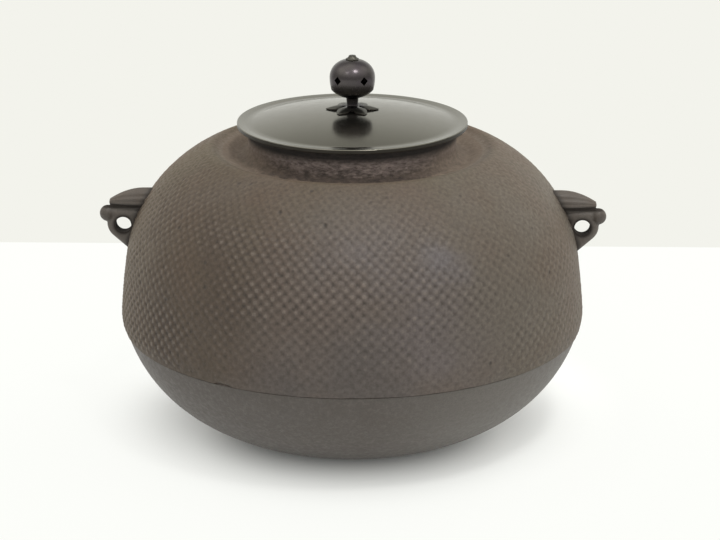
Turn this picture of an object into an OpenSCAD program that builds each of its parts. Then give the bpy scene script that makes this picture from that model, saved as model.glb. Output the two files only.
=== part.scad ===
// Chagama: a cast iron kettle for the tea hearth, with a bronze lid.
// Millimetres. The origin is on the axis at the ground, +Z is up, and the two ring lugs lie on X.

/* [Body] */
// Greatest diameter of the body, at the hip
body_d = 248; // [220:1:290]
// Height of the hip above the ground
hip_z = 66.5; // [58:0.5:78]
// Wall of the body casting
wall = 3.2; // [2.5:0.1:4.5]
// Radius that rounds the hip
hip_round = 4; // [3.5:0.5:20]
// Height of the skirt that hangs below the hip
skirt_h = 6; // [4.5:0.5:12]
// Lean of the skirt from upright, in degrees
skirt_lean = 12; // [5:1:16]
// Radius of the long flank above the hip
flank_round = 560; // [400:5:700]
// Lean of the flank where it leaves the hip, in degrees
flank_lean = 4.2; // [2:0.1:6]
// Lean of the flank where the shoulder begins, in degrees
shoulder_lean = 7.3; // [6.5:0.1:9]
// Lean of the shoulder where it rolls over into the scoop, in degrees
crest_lean = 65; // [50:1:75]
// Radius of the crest that the shoulder rolls over
crest_round = 6; // [4:0.5:9]

/* [Mouth] */
// Diameter of the mouth
mouth_d = 102; // [92:1:112]
// Wall of the neck round the mouth
neck_wall = 4; // [3:0.1:6]
// Width of the scoop between the neck and the crest
scoop_w = 20; // [17:0.5:24]
// Slope from the crest down into the scoop, in degrees
scoop_fall = 30; // [20:1:40]
// Radius of the scoop at the foot of the neck
scoop_round = 6; // [4:0.5:7]
// Height of the lip above the crest
neck_h = 10.6; // [9:0.1:16]
// How far the lip turns out from the neck
lip_flare = 1.2; // [0.5:0.1:2]
// Height of the turned out lip
lip_h = 4; // [2.5:0.1:5]
// Bevel on the edges of the mouth
mouth_edge = 0.8; // [0.3:0.1:1.2]

/* [Bottom] */
// Diameter of the flat that the kettle stands on
foot_d = 70; // [56:1:86]
// Wall of the bottom
bottom_wall = 4; // [3:0.1:5.5]
// Slope at which the belly passes into the side of the bottom, in degrees
belly_slope = 36; // [32:1:40]
// Slope of the bottom at the seam, in degrees
seam_slope = 74; // [70:1:80]
// How far the skirt stands proud of the bottom
seam_step = 1.1; // [0.4:0.1:1.4]
// Room left in the skirt over the spigot of the bottom
lap_room = 1; // [0.5:0.1:3]
// Thickness of the iron and lacquer putty in the seam
putty_t = 0.5; // [0.3:0.1:0.8]

/* [Lid] */
// How far the lid reaches past the mouth
lid_over = 9.8; // [8:0.1:12]
// Thickness of the lid
lid_t = 2; // [1.5:0.1:3]
// Width of the rim round the dome of the lid
rim_w = 6; // [4:0.5:9]
// Rise of the rim from the dome out to the edge
rim_rise = 0.9; // [0.3:0.1:1.5]
// Height of the dome above the rim
dome_h = 7.1; // [5:0.1:10]
// Wall of the ring under the lid
ring_wall = 2.2; // [1.5:0.1:3]
// Height of the ring under the lid
ring_h = 6; // [4:0.5:9]
// Play of the ring in the mouth, all round
ring_play = 1; // [0.5:0.1:2]
// Gap between the lid and the lip
lid_gap = 0.3; // [0.2:0.05:0.5]

/* [Knob] */
// Diameter of the knob
knob_d = 23.9; // [22:0.1:27]
// Radius of the knob's shoulder, above its widest line
knob_shoulder = 9.2; // [7.5:0.1:10]
// Slope at which the shoulder passes into the top, in degrees
knob_turn = 55; // [45:1:65]
// Radius of the knob's top
knob_top = 11.6; // [9.5:0.1:16]
// Radius of the knob's belly, below its widest line
knob_belly = 24.7; // [20:0.1:32]
// Lean of the belly at the lower edge, in degrees
knob_lean = 15; // [10:1:18]
// Radius that rounds the knob's lower edge
knob_edge = 0.5; // [0.3:0.1:1.2]
// How far below level the underside faces where it starts at the edge, in degrees
knob_under = 42; // [36:1:50]
// How far below level the underside faces where it meets the neck, in degrees
knob_keel = 83; // [76:1:88]
// Wall of the hollow knob
knob_wall = 1.6; // [1.2:0.1:2.2]
// Number of diamond piercings round the knob
pierce_n = 5; // [3:1:6]
// Width of a piercing from corner to corner
pierce_w = 4.6; // [3.5:0.1:6]
// Direction of one of the piercings, in degrees from the right lug
pierce_at = 87; // [54:1:126]
// Diameter of the neck under the knob
knob_neck_d = 6.4; // [5.8:0.1:7]
// Length of the neck under the knob
knob_neck_len = 4.9; // [3:0.1:7]
// Width of the foot round the knob's neck
knob_foot = 0.9; // [0.4:0.1:1.5]
// Diameter of the rivet through knob, seat and lid
rivet_d = 3.6; // [3:0.1:4.2]
// Clearance of the rivet in its holes
rivet_play = 0.1; // [0.05:0.01:0.2]
// How far a rivet head stands out past the rivet
rivet_lap = 1.2; // [0.8:0.1:1.6]
// Height of a rivet head
rivet_head_h = 1.4; // [1:0.1:2]
// Diameter of the washer under the lid
washer_d = 10; // [8:0.5:14]
// Thickness of the washer
washer_t = 1; // [0.6:0.1:1.5]

/* [Knob seat and crown] */
// Number of petals on the seat
petal_n = 6; // [5:1:8]
// Length of a petal
petal_l = 10; // [8.5:0.1:11]
// Width of a petal
petal_w = 8; // [6:0.1:9.5]
// Height of a petal at its ridge
petal_h = 2; // [1.6:0.1:2.6]
// Radius of the arched top of a petal
petal_arch = 9; // [7:0.1:12]
// Fall of the ridge to the tip of a petal, in degrees
petal_fall = 9; // [6:1:10]
// Diameter of the whole seat, over the tips
seat_d = 28; // [27.5:0.5:32]
// Diameter of the disc that the petals spread from
seat_disc_d = 13; // [11:0.5:16]
// Thickness of the seat
seat_t = 1.4; // [1:0.1:2]
// Diameter of the core hole that the crown closes
core_d = 5.2; // [4:0.1:6]
// Diameter of the crown's foot
crown_d = 7; // [6.6:0.1:8]
// Height of the crown
crown_h = 2.1; // [1.6:0.1:3]
// Height of the crown's foot
crown_foot_h = 0.4; // [0.3:0.1:0.6]
// Diameter of the crown where its foot passes into the top
crown_waist_d = 4.8; // [4.2:0.1:5.2]
// Diameter of the top of the crown
crown_top_d = 3.6; // [3:0.1:4.2]
// Number of notches in the crown's foot
crown_n = 5; // [4:1:8]
// Radius of a notch in the crown's foot
crown_notch_r = 1.3; // [0.8:0.1:1.4]

/* [Lugs] */
// Diameter of the eye that a lifting ring passes through
eye_d = 8.6; // [7:0.1:10]
// Height of the eye above the ground
eye_z = 112.9; // [106:0.1:118]
// Metal between the eye and the body
eye_wall = 1; // [0.8:0.1:3]
// Thickness of the ear round the eye
ear_t = 7; // [5.5:0.1:9]
// Radius of the ear
ear_r = 8.9; // [7.5:0.1:10]
// How far the low end of the chin lies in from the eye
chin_in = 9.3; // [7.5:0.1:11]
// How far the low end of the chin lies below the eye
chin_drop = 15.5; // [13:0.1:17]
// Radius of the round nose at the tip of the lug
nose_r = 4.4; // [3.5:0.1:5.5]
// Radius of the roll that carries the nose
roll_r = 3.5; // [3:0.1:4.5]
// How far the nose lies out from the eye
nose_out = 8.4; // [7:0.1:10]
// How far the nose lies above the eye
nose_up = 5.5; // [4.5:0.1:6.5]
// Width of the brow over the nose
brow_w = 11; // [8:0.5:15]
// Height of the brow where it leaves the body
brow_h = 8.2; // [6:0.1:10]
// How far the underside of the brow lies above the eye
brow_up = 11.6; // [10.5:0.1:13]
// How far the tip of the brow lies out from the eye
brow_out = 7.3; // [5:0.1:9]
// Height of the blunt end of the brow
brow_end = 1.8; // [1:0.1:3]
// Radius of the web that joins the brow to the roll
web_r = 2.6; // [1.8:0.1:3.2]
// How far the web stays behind the end of the brow
web_in = 1.5; // [0.5:0.1:3]
// Diameter of the tang set in the wall
tang_d = 8; // [6:0.1:10]
// How far the tang lies above the eye
tang_up = 8; // [6:0.1:10]

/* [Sound plates] */
// Length of a sound plate
plate_l = 18; // [14:0.5:20]
// Width of a sound plate
plate_w = 9; // [6:0.5:12]
// Thickness of a sound plate
plate_t = 2; // [1:0.1:3]
// How far the plates lie in from the edge of the flat
plate_margin = 10; // [6:0.5:12]
// Thickness of the lacquer under a plate
lacquer_t = 0.8; // [0.4:0.1:1.2]
// How far the lacquer shows round a plate
lacquer_lap = 1.2; // [0.5:0.1:2]

/* [Hidden] */
// Degrees of a turn that one straight stretch of an outline stands for
turn_step = 3;
// Gap left where pieces are bonded, cast in or riveted together
bond = 0.05;
// Length that carries a cutting shape clear through what it cuts
clear = 1;
// Number of stretches that the fall of the brow is drawn in
brow_n = 8;
// Number of sound plates, which has to match the names below
plate_n = 5;
$fn = 96;

iron = "#5c534b";
new_iron = "#565350";
putty = "#4a4038";
bronze = "#2f2c29";
dark_bronze = "#282524";
plate_iron = "#4d4a47";
lacquer = "#1c1614";

// An outline is a list of [radius, height] points. Along an arc, each point is given by the
// angle of the surface's outward normal, so one angle serves an outer wall and the wall inside it.
function toward(n) = [cos(n), sin(n)];
function arc(c, r, n0, n1) =
    let (steps = max(2, ceil(abs(n1 - n0) / turn_step)))
    [for (i = [0:steps]) c + r * toward(n0 + (n1 - n0) * i / steps)];
function backwards(list) = [for (i = [len(list) - 1:-1:0]) list[i]];

// Body: skirt, hip, flank, shoulder, crest, scoop and neck, each arc tangent to the one before
hip_c = [body_d / 2 - hip_round, hip_z];
flank_c = hip_c + (hip_round - flank_round) * toward(flank_lean);
neck_r = mouth_d / 2 + neck_wall;
crest_r = neck_r + scoop_w;
flank_end = flank_c + flank_round * toward(shoulder_lean);
shoulder_round = (flank_end[0] - crest_r - crest_round * cos(crest_lean))
    / (cos(shoulder_lean) - cos(crest_lean));
shoulder_c = flank_end - shoulder_round * toward(shoulder_lean);
crest_c = shoulder_c + (shoulder_round - crest_round) * toward(crest_lean);
crest_z = crest_c[1] + crest_round;
scoop_n = 90 + scoop_fall;
scoop_start = crest_c + crest_round * toward(scoop_n);
scoop_run = scoop_start[0] - neck_r - scoop_round * (1 + sin(scoop_fall));
scoop_c = [neck_r + scoop_round,
    scoop_start[1] - scoop_run * tan(scoop_fall) + scoop_round * cos(scoop_fall)];
scoop_floor = scoop_c[1] - scoop_round;
lip_z = crest_z + neck_h;
seam_z = hip_z - skirt_h;
skirt_top = hip_c + hip_round * toward(-skirt_lean);
skirt_r = skirt_top[0] - (skirt_top[1] - seam_z) * tan(skirt_lean);
lap_r = body_d / 2 - wall;

// The body's side up to the crest, moved in by a depth t, from where the hip's normal is at n0
function side(t, n0 = -skirt_lean) = concat(
    arc(hip_c, hip_round - t, n0, flank_lean),
    arc(flank_c, flank_round - t, flank_lean, shoulder_lean),
    arc(shoulder_c, shoulder_round - t, shoulder_lean, crest_lean));
neck_outside = concat(
    arc(crest_c, crest_round, crest_lean, scoop_n),
    arc(scoop_c, -scoop_round, scoop_n, 0),
    [[neck_r, lip_z - lip_h],
     [neck_r + lip_flare, lip_z - mouth_edge],
     [neck_r + lip_flare - mouth_edge, lip_z],
     [mouth_d / 2 + mouth_edge, lip_z],
     [mouth_d / 2, lip_z - mouth_edge]]);
neck_inside = [[mouth_d / 2, scoop_floor - wall + mouth_edge],
    [mouth_d / 2 + mouth_edge, scoop_floor - wall],
    [scoop_c[0], scoop_floor - wall]];
body_outline = concat([[lap_r, seam_z], [skirt_r, seam_z]], side(0), neck_outside, neck_inside,
    backwards(side(wall, 0)));
// Radius of the body at a height
function body_r(z) = lookup(z, [for (p = side(0)) [p[1], p[0]]]);

// Bottom: a flat foot and two tangent arcs that end at the seam
ledge_z = seam_z - putty_t;
bowl_r = skirt_r - seam_step;
spigot_r = lap_r - putty_t;
spigot_z = hip_z - lap_room;
belly_run = [sin(belly_slope), 1 - cos(belly_slope)];
rise_run = [sin(seam_slope) - sin(belly_slope), cos(belly_slope) - cos(seam_slope)];
bowl_reach = [bowl_r - foot_d / 2, ledge_z];
runs_cross = belly_run[0] * rise_run[1] - belly_run[1] * rise_run[0];
belly_round = (bowl_reach[0] * rise_run[1] - bowl_reach[1] * rise_run[0]) / runs_cross;
rise_round = (belly_run[0] * bowl_reach[1] - belly_run[1] * bowl_reach[0]) / runs_cross;
belly_c = [foot_d / 2, belly_round];
rise_c = belly_c + (belly_round - rise_round) * toward(belly_slope - 90);
function bowl_side(t) = concat(
    arc(belly_c, belly_round - t, -90, belly_slope - 90),
    arc(rise_c, rise_round - t, belly_slope - 90, seam_slope - 90));
bowl_inside = bowl_side(bottom_wall);
bowl_inside_r = bowl_inside[len(bowl_inside) - 1][0];

// Lid
lid_r = mouth_d / 2 + lid_over;
lid_z = lip_z + lid_gap;
rim_r = lid_r - rim_w;
rim_z = lid_z + lid_t - rim_rise / 2;
edge_z = rim_z + rim_rise;
dome_z = rim_z + dome_h;
dome_round = (rim_r * rim_r + dome_h * dome_h) / (2 * dome_h);
dome_c = [0, dome_z - dome_round];
dome_n = 90 - asin(rim_r / dome_round);
ring_r = mouth_d / 2 - ring_play;
under_r = ring_r - ring_wall - clear;
under_n = acos(under_r / (dome_round - lid_t));
dome_under_z = dome_z - lid_t;

// Knob
seat_z = dome_z + bond;
seat_top = seat_z + seat_t;
knob_foot_z = seat_top + bond;
knob_neck_r = knob_neck_d / 2;
rivet_hole_r = rivet_d / 2 + rivet_play;
head_r = rivet_d / 2 + rivet_lap;
// Where the lower edge passes into the underside, counted from the middle of the widest line
under_start = [knob_d / 2 - knob_belly, 0] + (knob_belly - knob_edge) * toward(-knob_lean)
    + knob_edge * toward(-knob_under);
keel_round = (under_start[0] - knob_neck_r) / (cos(knob_under) - cos(knob_keel));
keel_c = under_start - keel_round * toward(-knob_under);
knob_z = knob_foot_z + knob_neck_len - keel_c[1] + keel_round * sin(knob_keel);
knob_shoulder_c = [knob_d / 2 - knob_shoulder, knob_z];
knob_top_c = knob_shoulder_c + (knob_shoulder - knob_top) * toward(knob_turn);
knob_belly_c = [knob_d / 2 - knob_belly, knob_z];
knob_edge_c = knob_belly_c + (knob_belly - knob_edge) * toward(-knob_lean);
core_n = acos((core_d / 2 - knob_top_c[0]) / knob_top);
core_inside_n = acos((core_d / 2 - knob_top_c[0]) / (knob_top - knob_wall));
knob_floor_r = head_r + bond;
knob_floor_z = knob_foot_z + knob_neck_len + knob_wall;
crown_z = knob_top_c[1] + knob_top * sin(core_n) + bond;
washer_z = dome_under_z - bond - (dome_round - lid_t)
    + sqrt(pow(dome_round - lid_t, 2) - pow(washer_d / 2, 2)) - washer_t;

// Lugs
eye = [body_r(eye_z) + eye_wall + eye_d / 2, eye_z];
chin_c = eye - [chin_in, chin_drop];
nose_c = eye + [nose_out, nose_up];
tang_z = eye_z + tang_up;
brow_z = eye_z + brow_up;
brow_tip = eye[0] + brow_out;
brow_root = eye[0] - ear_r - web_r;
web_z = (nose_c[1] + roll_r + brow_z) / 2;

// Sound plates
plate_ring = foot_d / 2 - plate_margin - plate_w / 2;

module turned(outline) {
    rotate_extrude()
        polygon(outline);
}

// What fills the body's side out to a depth t under its surface, for cutting pieces that meet it
module body_block(t) {
    shape = side(t);
    turned(concat([[0, shape[0][1]]], shape, [[0, shape[len(shape) - 1][1]]]));
}

module facing_y(place) {
    translate([place[0], 0, place[1]])
        rotate([90, 0, 0])
            children();
}

// A rod along X at a height, from the axis out to a reach
module rod_x(radius, height, reach) {
    translate([0, 0, height])
        rotate([0, 90, 0])
            cylinder(r = radius, h = reach);
}

module upper_body() {
    color(iron)
    difference() {
        turned(body_outline);
        for (turn = [0, 180])
            rotate([0, 0, turn])
                rod_x(tang_d / 2 + bond, tang_z, body_d);
    }
}

module bottom_bowl() {
    color(new_iron)
    turned(concat([[0, 0]], bowl_side(0),
        [[spigot_r, ledge_z], [spigot_r, spigot_z], [bowl_inside_r, spigot_z]],
        backwards(bowl_inside), [[0, bottom_wall]]));
}

// The putty fills the lap between skirt and spigot, and beds the edge of the skirt
module seam_putty() {
    color(putty)
    turned([[spigot_r + bond, ledge_z + bond], [bowl_r, ledge_z + bond], [bowl_r, seam_z - bond],
        [lap_r - bond, seam_z - bond], [lap_r - bond, spigot_z], [spigot_r + bond, spigot_z]]);
}

// A disc with a full round edge round the eye, drawn out to a chin that runs into the body
module ear() {
    hull() {
        facing_y(eye)
            rotate_extrude($fn = 60)
                translate([ear_r - ear_t / 2, 0])
                    circle(d = ear_t, $fn = 24);
        translate([chin_c[0], 0, chin_c[1]])
            sphere(d = ear_t, $fn = 24);
    }
}

// The brow has a flat underside. It leaves the body level, falls in a curve and ends blunt.
module brow() {
    hull()
        for (i = [-brow_n / 2 : brow_n]) {
            along = i / brow_n;
            rise = brow_end + (brow_h - brow_end) * (1 - pow(max(0, along), 2));
            translate([brow_root + along * (brow_tip - brow_root), 0, brow_z])
                rotate([90, 0, 90])
                    linear_extrude(bond)
                        intersection() {
                            scale([brow_w / 2 * sqrt(rise / brow_h), rise])
                                circle(r = 1, $fn = 40);
                            translate([-brow_w, 0])
                                square(2 * brow_w);
                        }
        }
}

// The tang goes through the wall and ends level with the inside of the body
module lug() {
    difference() {
        union() {
            difference() {
                union() {
                    ear();
                    brow();
                    rod_x(roll_r, nose_c[1], nose_c[0]);
                    rod_x(web_r, web_z, brow_tip - web_in);
                    translate([nose_c[0], 0, nose_c[1]])
                        sphere(r = nose_r);
                }
                body_block(-bond);
            }
            difference() {
                rod_x(tang_d / 2, tang_z, eye[0]);
                body_block(wall);
            }
        }
        facing_y(eye)
            cylinder(d = eye_d, h = 2 * ear_t, center = true);
    }
}

module right_lug() {
    color(iron)
    lug();
}

module left_lug() {
    color(iron)
    rotate([0, 0, 180])
        lug();
}

module lid_plate() {
    color(bronze)
    difference() {
        turned(concat([[0, dome_under_z]],
            backwards(arc(dome_c, dome_round - lid_t, under_n, 90)),
            [[under_r, lid_z], [lid_r, lid_z], [lid_r, edge_z], [rim_r, rim_z]],
            arc(dome_c, dome_round, dome_n, 90)));
        cylinder(r = rivet_hole_r, h = dome_z + clear);
    }
}

module lid_ring() {
    color(bronze)
    turned([[ring_r - ring_wall, lid_z - ring_h], [ring_r, lid_z - ring_h],
        [ring_r, lid_z - bond], [ring_r - ring_wall, lid_z - bond]]);
}

// A pointed leaf along X, with an arched top that falls to the tip
module petal() {
    bow = (petal_l * petal_l + petal_w * petal_w) / (4 * petal_w);
    intersection() {
        linear_extrude(petal_h + clear)
            intersection() {
                translate([petal_l / 2, bow - petal_w / 2])
                    circle(r = bow);
                translate([petal_l / 2, petal_w / 2 - bow])
                    circle(r = bow);
            }
        translate([0, 0, petal_h])
            rotate([0, 90 + petal_fall, 0])
                translate([petal_arch, 0, -petal_l])
                    cylinder(r = petal_arch, h = 3 * petal_l);
    }
}

module knob_seat() {
    color(dark_bronze)
    difference() {
        translate([0, 0, seat_z])
            union() {
                cylinder(d = seat_disc_d, h = seat_t);
                for (i = [0:petal_n - 1])
                    rotate([0, 0, 360 / petal_n * i])
                        translate([seat_d / 2 - petal_l, 0, 0])
                            petal();
            }
        cylinder(r = rivet_hole_r, h = seat_top + clear);
    }
}

module knob_ball() {
    color(dark_bronze)
    difference() {
        turned(concat(
            [[rivet_hole_r, knob_foot_z], [knob_neck_r + knob_foot, knob_foot_z],
             [knob_neck_r, knob_foot_z + knob_foot]],
            arc(keel_c + [0, knob_z], keel_round, -knob_keel, -knob_under),
            arc(knob_edge_c, knob_edge, -knob_under, -knob_lean),
            arc(knob_belly_c, knob_belly, -knob_lean, 0),
            arc(knob_shoulder_c, knob_shoulder, 0, knob_turn),
            arc(knob_top_c, knob_top, knob_turn, core_n),
            backwards(arc(knob_top_c, knob_top - knob_wall, knob_turn, core_inside_n)),
            backwards(arc(knob_shoulder_c, knob_shoulder - knob_wall, 0, knob_turn)),
            backwards(arc(knob_belly_c, knob_belly - knob_wall, -knob_lean, 0)),
            [[knob_floor_r, knob_floor_z], [rivet_hole_r, knob_floor_z]]));
        for (i = [0:pierce_n - 1])
            rotate([0, 0, 360 / pierce_n * i + pierce_at])
                translate([0, 0, knob_z])
                    rotate([45, 0, 0])
                        translate([0, -pierce_w / sqrt(8), -pierce_w / sqrt(8)])
                            cube([knob_d, pierce_w / sqrt(2), pierce_w / sqrt(2)]);
    }
}

module knob_crown() {
    plug_r = core_d / 2 - bond;
    color(dark_bronze)
    difference() {
        turned([[0, crown_z - knob_wall], [plug_r, crown_z - knob_wall], [plug_r, crown_z],
            [crown_d / 2, crown_z], [crown_d / 2, crown_z + crown_foot_h],
            [crown_waist_d / 2, crown_z + 2 * crown_foot_h],
            [crown_top_d / 2, crown_z + crown_h], [0, crown_z + crown_h - crown_foot_h]]);
        for (i = [0:crown_n - 1])
            rotate([0, 0, 360 / crown_n * (i + 0.5)])
                translate([(crown_d + crown_notch_r) / 2, 0, crown_z - clear])
                    cylinder(r = crown_notch_r, h = crown_h + 2 * clear);
    }
}

// The rivet's upper head lies in the hollow knob, and its lower end is spread under the washer
module knob_rivet() {
    color(dark_bronze)
    turned([[0, washer_z - rivet_head_h], [rivet_d / 2, washer_z - rivet_head_h],
        [head_r, washer_z - rivet_head_h / 2], [head_r, washer_z - bond],
        [rivet_d / 2, washer_z - bond], [rivet_d / 2, knob_floor_z + bond],
        [head_r, knob_floor_z + bond], [head_r, knob_floor_z + rivet_head_h / 2],
        [rivet_d / 2, knob_floor_z + rivet_head_h], [0, knob_floor_z + rivet_head_h]]);
}

module knob_washer() {
    color(bronze)
    turned([[rivet_hole_r, washer_z], [washer_d / 2, washer_z],
        [washer_d / 2, washer_z + washer_t], [rivet_hole_r, washer_z + washer_t]]);
}

// A flat oblong with round ends, laid in its place on the ring of plates
module oblong(i, length, width, thickness, height) {
    rotate([0, 0, 360 / plate_n * i])
        translate([0, plate_ring, height])
            linear_extrude(thickness)
                union() {
                    square([length - width, width], center = true);
                    for (end = [-1, 1])
                        translate([end * (length - width) / 2, 0])
                            circle(d = width);
                }
}

module sound_plate(i) {
    color(plate_iron)
    oblong(i, plate_l, plate_w, plate_t, bottom_wall + lacquer_t);
}

module plate_lacquer(i) {
    color(lacquer)
    oblong(i, plate_l + 2 * lacquer_lap, plate_w + 2 * lacquer_lap, lacquer_t, bottom_wall);
}

upper_body();
bottom_bowl();
seam_putty();
left_lug();
right_lug();
lid_plate();
lid_ring();
knob_seat();
knob_ball();
knob_crown();
knob_rivet();
knob_washer();
for (i = [1:plate_n]) {
    sound_plate(i);
    plate_lacquer(i);
}
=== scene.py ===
import bpy
import bmesh
import math
from mathutils import Matrix, Vector, noise


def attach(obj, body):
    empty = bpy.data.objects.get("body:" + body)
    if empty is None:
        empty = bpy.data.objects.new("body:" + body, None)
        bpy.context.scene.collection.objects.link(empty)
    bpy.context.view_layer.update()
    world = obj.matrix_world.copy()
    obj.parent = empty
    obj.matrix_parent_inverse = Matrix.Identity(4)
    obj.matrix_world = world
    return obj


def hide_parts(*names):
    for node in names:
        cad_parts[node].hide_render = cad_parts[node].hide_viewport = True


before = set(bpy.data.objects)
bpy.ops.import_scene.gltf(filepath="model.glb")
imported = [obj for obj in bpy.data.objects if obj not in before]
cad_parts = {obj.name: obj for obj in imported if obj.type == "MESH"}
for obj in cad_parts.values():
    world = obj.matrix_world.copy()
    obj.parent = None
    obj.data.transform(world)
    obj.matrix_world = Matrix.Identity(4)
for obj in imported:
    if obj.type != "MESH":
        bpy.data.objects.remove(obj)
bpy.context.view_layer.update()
noise.seed_set(1)   # noise_vector goes by the clock unless a seed is set, and would give other bumps each run
print("frame loaded")


def linear(hexText):  # sRGB hex to the linear colour that a socket takes
    parts = [int(hexText[i:i + 2], 16) / 255 for i in (1, 3, 5)]
    return [c / 12.92 if c <= 0.04045 else ((c + 0.055) / 1.055) ** 2.4 for c in parts] + [1.0]


def perMetre(size):  # texture scale for a pattern of this many millimetres
    return 1000 / size


def setSockets(tree, node, inputs):  # links a value that is a socket, and sets any other
    for socket, value in inputs.items():
        if isinstance(value, bpy.types.NodeSocket):
            tree.links.new(value, node.inputs[socket])
        else:
            node.inputs[socket].default_value = value


# Sockets go by name, or by number where names repeat: on MapRange 1 and 2 are the range read and
# 3 and 4 the range given, on Mix 6 and 7 are the colours. Gives the named output or the first in use.
def addNode(tree, kind, inputs, output=None, **settings):
    node = tree.nodes.new("ShaderNode" + kind)
    for name, value in settings.items():
        setattr(node, name, value)
    setSockets(tree, node, inputs)
    return node.outputs[output] if output else next(socket for socket in node.outputs if socket.enabled)


def startMaterial(name):  # gives the material, its tree and shader, and the place on the piece in metres
    material = bpy.data.materials.new(name)
    material.use_nodes = True
    tree = material.node_tree
    return material, tree, tree.nodes["Principled BSDF"], addNode(tree, "TexCoord", {}, "Object")


# Shapes are drawn in millimetres, as outlines in the XZ plane, and shrunk to metres at the end
weld = 1e-4   # mm, points as close as this become one
hair = 0.01   # mm, points as close as this count as level


def only(items, kind):
    return [item for item in items if isinstance(item, kind)]


def unique(items):  # each once and in order, where a set would give another order, and mesh, each run
    return list(dict.fromkeys(items))


def lineTo(bm, tip, across, height):
    tip = bmesh.ops.extrude_vert_indiv(bm, verts=[tip])["verts"][0]
    tip.co = (across, 0, height)
    return tip


def sweepArc(bm, tip, centre, turn, steps):  # turns the outline's end round a centre, X towards Z
    swept = bmesh.ops.spin(bm, geom=[tip], cent=(centre[0], 0, centre[1]), axis=(0, -1, 0),
                           angle=math.radians(turn), steps=steps)
    return only(swept["geom_last"], bmesh.types.BMVert)[0]


def draw(bm, tip, *strokes):  # (across, height) is a line, (centre, degrees, steps) is an arc
    for stroke in strokes:
        tip = lineTo(bm, tip, *stroke) if len(stroke) == 2 else sweepArc(bm, tip, *stroke)
    return tip


def turnRound(bm, steps):  # makes the outline a closed turned shell
    bmesh.ops.spin(bm, geom=bm.verts[:] + bm.edges[:], cent=(0, 0, 0), axis=(0, 0, 1),
                   angle=2 * math.pi, steps=steps, use_merge=True)
    bmesh.ops.remove_doubles(bm, verts=bm.verts, dist=weld)
    bmesh.ops.dissolve_degenerate(bm, dist=weld, edges=bm.edges)
    bm.verts.index_update()
    for parts in (bm.edges, bm.faces):  # spin leaves these in another order each run
        parts.sort(key=lambda part: min(vert.index for vert in part.verts) * len(bm.verts)
                   + max(vert.index for vert in part.verts))
    bmesh.ops.recalc_face_normals(bm, faces=bm.faces)


def turnVerts(bm, verts, degrees, axis):
    bmesh.ops.rotate(bm, verts=verts, cent=(0, 0, 0), matrix=Matrix.Rotation(math.radians(degrees), 3, axis))


def between(value, low, high):  # 0 below low, 1 above high, eased
    t = min(1, max(0, (value - low) / (high - low)))
    return t * t * (3 - 2 * t)


def modified(bm, kind, cutter=None, **settings):  # runs one modifier on a shape and gives the shape back
    rough = []
    for part in (bm, cutter):
        if part:
            mesh = bpy.data.meshes.new("rough")
            part.to_mesh(mesh)
            part.free()
            rough.append(bpy.data.objects.new("rough", mesh))
            bpy.context.scene.collection.objects.link(rough[-1])
    modifier = rough[0].modifiers.new("shaping", kind)
    for name, value in settings.items():
        setattr(modifier, name, value)
    if cutter:
        modifier.object = rough[1]
    shaped = rough[0].evaluated_get(bpy.context.evaluated_depsgraph_get())
    mesh = bpy.data.meshes.new_from_object(shaped)
    bm = bmesh.new()
    bm.from_mesh(mesh)
    for item in rough:
        bpy.data.meshes.remove(item.data)
    bpy.data.meshes.remove(mesh)
    return bm


def makePiece(bm, name, body, materials, nodes, sharp=38):  # edges turned further, in degrees, stay sharp
    bmesh.ops.scale(bm, vec=(0.001, 0.001, 0.001), verts=bm.verts)
    mesh = bpy.data.meshes.new(name)
    bm.to_mesh(mesh)
    bm.free()
    mesh.shade_smooth()
    mesh.set_sharp_from_angle(angle=math.radians(sharp))
    for material in materials:
        mesh.materials.append(material)
    piece = bpy.data.objects.new(name, mesh)
    bpy.context.scene.collection.objects.link(piece)
    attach(piece, body)
    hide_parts(*nodes)
    print(name, len(mesh.polygons), "faces")


def clouded(tree, place, size, detail, tone, other, low=0.0, high=1.0):  # two tones in clouds of this many mm
    cloud = addNode(tree, "TexNoise", {"Vector": place, "Scale": perMetre(size), "Detail": detail})
    cloud = addNode(tree, "MapRange", {"Value": cloud, 1: low, 2: high})
    return addNode(tree, "Mix", {0: cloud, 6: linear(tone), 7: linear(other)}, data_type="RGBA")


noiseSpan = {1: 0.3, 2: 0.7}   # where nearly all values of a noise lie

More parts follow.
